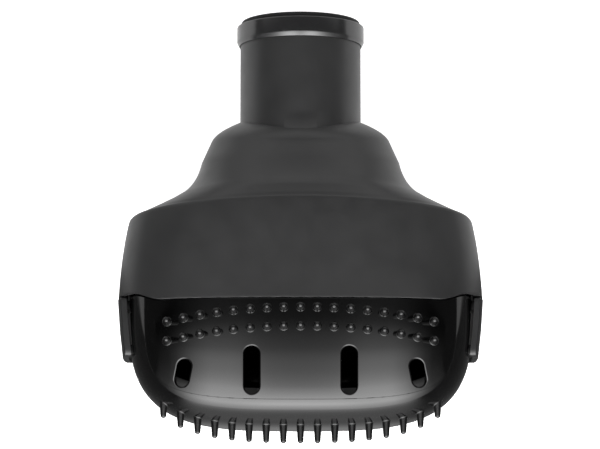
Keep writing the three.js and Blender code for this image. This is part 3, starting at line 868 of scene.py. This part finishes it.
def build_tip_pins():
    def surface(x, height):
        return -head_end(x, height)

    def to_space(x, height, reach):
        return np.stack([x, -reach, AXIS_Z + height], axis=1)

    half = (PINS_PER_ROW - 1) / 2 * TIP_PITCH
    parts = []
    for share in ROW_SHARES:
        length = PIN_LENGTH - TIP_ROW_SHORTFALL * share ** 2
        parts.append(pin_parts(share * half, TIP_ROW_HEIGHT, surface, length, to_space))
    mesh = shade(mesh_from(*joined(*parts), "pins_tip"), 60)
    new_object("pins_tip", mesh, PIN_GLOSS, "head", "head_gloss")


def build_spigot():
    top, bottom = spigot_high[1], spigot_low[1]
    outline = rounded_outline([(0, bottom), (WALL, bottom), (WALL, top), (0, top)], 0.5 * MM)
    rings = slab_rings(outline, spigot_high[0], spigot_high[2] - AXIS_Z, spigot_low[2])
    points, faces = skin(rings, wrap=True)
    mesh = shade(mesh_from(points, faces, "spigot"), 45)
    new_object("spigot_ring", mesh, INNER_PLASTIC, "head", "inner_plastic", "spigot_frame")


def build_gasket():
    top, bottom = gasket_high[1], gasket_low[1]
    outline = rounded_outline([(0, bottom), (GASKET_WIDTH, bottom), (GASKET_WIDTH, top), (0, top)], 0.8 * MM)
    rings = slab_rings(outline, gasket_high[0], gasket_high[2] - AXIS_Z, gasket_low[2])
    points, faces = skin(rings, wrap=True)
    mesh = shade(mesh_from(points, faces, "gasket"), 60)
    new_object("seal", mesh, RUBBER, "head", "sleeve_rubber", "seam_gasket")


# ---------------------------------------------------------------- build: release tabs

def tab_surface(y, z):
    """How far out the tab's outer face lies."""
    heights = [tab_low[1], (tab_low[1] + TAB_TOP) / 2, TAB_TOP]
    width = np.interp(y, heights, TAB_WIDTHS)
    return width * (1 - (abs(z) / HEAD_HALF_DEPTH) ** SQUARE) ** (1 / SQUARE)


def tab_outline(low, high, half):
    """A rounded rectangle in (y, z), with points close enough together to bend it."""
    corners = [(low, -half), (high, -half), (high, half), (low, half)]
    outline = np.array(rounded_outline(corners, [2.5 * MM, 0.8 * MM, 0.8 * MM, 2.5 * MM], 8))
    dense = []
    for here, after in zip(outline, np.roll(outline, -1, axis=0)):
        pieces = max(1, int(np.linalg.norm(after - here) / (1.2 * MM)))
        dense += [here + (after - here) * k / pieces for k in range(pieces)]
    return np.array(dense)


def build_tabs():
    low, high = tab_low[1], TAB_TOP
    middle = np.array([(low + high) / 2, 0])
    outline = tab_outline(low, high, (tab_high[2] - tab_low[2]) / 2)
    size = np.abs(outline - middle).max(axis=0)
    fillet = 0.4 * MM
    levels = [(0, -TAB_THICKNESS), (0, -fillet)]
    for step in range(1, ROUND_STEPS + 1):
        angle = (step / ROUND_STEPS) * pi / 2
        levels.append((fillet * (1 - cos(angle)), fillet * (sin(angle) - 1)))
    levels += [(fillet + (size.min() - fillet) * share, 0) for share in (0.1, 0.25, 0.45, 0.65, 0.85)]
    for side, name in ((1, "right"), (-1, "left")):
        rings = []
        for inset, height in levels:
            flat = middle + (outline - middle) * (1 - inset / size)
            ring = [(side * (tab_surface(y, z) + height), y, AXIS_Z + side * z) for y, z in flat]
            rings.append(ring)
        inner = (side * (tab_surface(*middle) - TAB_THICKNESS), middle[0], AXIS_Z)
        outer = (side * tab_surface(*middle), middle[0], AXIS_Z)
        plate = skin(rings, start_point=inner, end_point=outer)
        parts = [plate, *tab_inner_parts(side)]
        mesh = shade(mesh_from(*joined(*parts), f"tab_{name}"), 50)
        body = f"tab_{name}"
        new_object(f"tab_{name}_pad", mesh, TAB_PLASTIC, body, "tab_plastic", f"release_tab_{name}")


def tab_inner_parts(side):
    """The hinge barrel and the hooked tongue behind a tab."""
    hinge_x = (hinge_low[0] + hinge_high[0]) / 2
    hinge_y = (hinge_low[1] + hinge_high[1]) / 2
    radius, bore, half = TAB_BARREL_RADIUS, TAB_BARREL_BORE, TAB_BARREL_HALF
    corners = [(bore, -half), (radius, -half), (radius, half), (bore, half)]
    outline = rounded_outline(corners, 0.2 * MM, 3)
    centre = (side * hinge_x, hinge_y, AXIS_Z)
    barrel = skin(turned(outline, 48, centre, axis="Z"), wrap=True)

    def inner_block(x_low, y_low, x_high, y_high, half_height):
        left, right = sorted((side * x_low * MM, side * x_high * MM))
        low = (left, y_low * MM, AXIS_Z - half_height)
        return bevelled_block(low, (right, y_high * MM, AXIS_Z + half_height))

    web = inner_block(hinge_x / MM + 1.6, hinge_y / MM - 2, 71.2, hinge_y / MM + 2, TAB_BARREL_HALF)
    foot = inner_block(69.3, -32, 72.2, -28, TONGUE_HALF)
    tongue = inner_block(69.3, -29, 70.6, -21.3, TONGUE_HALF)
    nose = inner_block(69.5, -23.2, 70.9, -21.3, TONGUE_HALF)
    return [barrel, web, foot, tongue, nose]


# ---------------------------------------------------------------- carried-over CAD nodes

def refinish(node, material):
    """Gives a node that is carried over from the CAD its material."""
    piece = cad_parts[node]
    piece.data.materials.clear()
    piece.data.materials.append(material)


# ---------------------------------------------------------------- studio

def stage_object(name, mesh, material):
    piece = bpy.data.objects.new(name, mesh)
    bpy.context.scene.collection.objects.link(piece)
    mesh.materials.append(material)
    piece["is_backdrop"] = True
    return piece


def glow_material(name):
    """Light whose strength is stored on the mesh, point by point."""
    material = bpy.data.materials.new(name)
    material.use_nodes = True
    tree = material.node_tree
    tree.nodes.clear()
    level = tree.nodes.new("ShaderNodeAttribute")
    level.attribute_name = "glow"
    glow = tree.nodes.new("ShaderNodeEmission")
    out = tree.nodes.new("ShaderNodeOutputMaterial")
    tree.links.new(level.outputs["Fac"], glow.inputs["Strength"])
    tree.links.new(glow.outputs["Emission"], out.inputs["Surface"])
    return material


def glow_sheet(name, points, levels, columns, material):
    """A sheet of points in rows, with a brightness stored at every point."""
    faces = []
    for row in range(len(points) // columns - 1):
        for column in range(columns - 1):
            corner = row * columns + column
            faces.append((corner, corner + 1, corner + 1 + columns, corner + columns))
    mesh = bpy.data.meshes.new(name)
    mesh.from_pydata(points, [], faces)
    attribute = mesh.attributes.new("glow", "FLOAT", "POINT")
    attribute.data.foreach_set("value", levels)
    return stage_object(name, mesh, material)


def from_centre(middle):
    """Places along a line, close together near the part and far apart at the ends."""
    share = np.linspace(-1, 1, SHEEN_STEPS + 1)
    return middle + SHEEN_REACH * share * np.abs(share) ** 1.5


def build_floor():
    """A white light table."""
    far = FLOOR_REACH
    corners = [(-far, -far, 0), (far, -far, 0), (far, far, 0), (-far, far, 0)]
    mesh = mesh_from(corners, [(0, 1, 2, 3)], "floor")
    material, tree, shader = material_nodes("floor")
    tone = tint(tree, noise(tree, 2, 2), (0.84, 0.84, 0.84, 1), (0.87, 0.87, 0.87, 1))
    tree.links.new(tone, shader.inputs["Base Color"])
    shader.inputs["Roughness"].default_value = 0.9
    shader.inputs["Specular IOR Level"].default_value = 0.1
    shader.inputs["Emission Color"].default_value = (1, 1, 1, 1)
    shader.inputs["Emission Strength"].default_value = FLOOR_GLOW
    stage_object("floor", mesh, material)


def build_shades():
    """Dark strips on the floor under the slits beside the tabs, so no floor light shines through."""
    near, far = SHADE_ACROSS
    start, end = SHADE_ALONG
    material, tree, shader = material_nodes("shade")
    tone = tint(tree, noise(tree, 300, 2), grey_value(0.003), grey_value(0.004))
    tree.links.new(tone, shader.inputs["Base Color"])
    shader.inputs["Roughness"].default_value = 1
    shader.inputs["Specular IOR Level"].default_value = 0
    for side, name in ((1, "right"), (-1, "left")):
        corners = [(side * near, start), (side * far, start), (side * far, end), (side * near, end)]
        mesh = bpy.data.meshes.new(f"shade_{name}")
        mesh.from_pydata([(x, y, SHADE_HEIGHT) for x, y in corners], [], [(0, 1, 2, 3)])
        stage_object(f"shade_{name}", mesh, material)


def build_sheen():
    """What the glossy parts mirror of the floor: pale ahead, deep at the sides of the head."""
    columns = from_centre(0)
    points, levels = [], []
    for y in from_centre(-0.03):
        ahead = np.interp(-y, *zip(*SHEEN_AHEAD))
        centre = np.interp(-y, *zip(*SHEEN_HALF_WIDTH))
        behind = smoothstep(y, *SHEEN_STEP)
        for x in columns:
            points.append((x, y, SHEEN_HEIGHT))
            beside = SHEEN_LOW + (ahead - SHEEN_LOW) * (1 - smoothstep(abs(x), centre, SHEEN_FADE * centre))
            levels.append(beside + (SHEEN_BEHIND - beside) * behind)
    sheen = glow_sheet("sheen", points, levels, len(columns), glow_material("sheen"))
    sheen.visible_camera = False
    sheen.visible_diffuse = False
    sheen.visible_shadow = False


def build_arc(name, rises, card_rise, card_side, dimming):
    """A curved soft box over the part. Rises are degrees above the floor, from the pinned end."""
    points, levels = [], []
    across = np.linspace(-1, 1, CARD_COLUMNS + 1) * CARD_HALF_WIDTH
    for rise in rises:
        strength = np.interp(rise, *zip(*card_rise))
        dim = np.interp(rise, *zip(*dimming))
        for x in across:
            side = abs(np.degrees(np.arctan2(x, CARD_RADIUS)))
            centre = 1 - dim * (1 - smoothstep(side, 0, DIP_WIDTH))
            points.append((x, -CARD_RADIUS * cos(radians(rise)), CARD_RADIUS * sin(radians(rise))))
            levels.append(strength * centre * np.interp(side, *zip(*card_side)))
    card = glow_sheet(name, points, levels, len(across), glow_material(name))
    card.visible_camera = False


def build_cards():
    """A bright card that arches over the pinned end, and a dim one over the neck."""
    build_arc("front_card", np.linspace(0.5, 98, CARD_ROWS + 1), CARD_RISE, CARD_SIDE, CARD_DIP)
    build_arc("back_card", np.linspace(112, 165, CARD_ROWS + 1), BACK_RISE, BACK_SIDE, NO_DIP)


def build_world():
    world = bpy.data.worlds.new("studio")
    world.use_nodes = True
    background = world.node_tree.nodes["Background"]
    background.inputs["Color"].default_value = (1, 1, 1, 1)
    background.inputs["Strength"].default_value = WORLD_LEVEL
    bpy.context.scene.world = world


def build_camera():
    data = bpy.data.cameras.new("camera")
    data.lens = CAMERA_LENS
    camera = bpy.data.objects.new("camera", data)
    offset = Vector((0, -cos(CAMERA_ELEVATION), sin(CAMERA_ELEVATION))) * CAMERA_DISTANCE
    camera.location = Vector(CAMERA_TARGET) + offset
    camera.rotation_euler = (-offset).to_track_quat("-Z", "Y").to_euler()
    bpy.context.scene.collection.objects.link(camera)
    bpy.context.scene.camera = camera


# ---------------------------------------------------------------- everything together

build_housing()
build_collar()
build_sleeve()
build_retainer()
build_deflector()
build_baffle()
build_head()
build_upper_pins()
build_tip_pins()
build_spigot()
build_gasket()
build_tabs()
for index in range(1, 5):
    refinish(f"baffle_screw_{index}", SCREW_STEEL)
for side in ("right", "left"):
    refinish(f"tab_pin_{side}", PIN_STEEL)
    refinish(f"tab_spring_{side}", SPRING_STEEL)
build_floor()
build_shades()
build_sheen()
build_cards()
build_world()
build_camera()
bpy.context.scene.view_settings.view_transform = "Standard"

plain = lambda box: [[float(v) for v in corner] for corner in box]
{"cad": plain(cad_bounds), "visual": plain(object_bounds())}
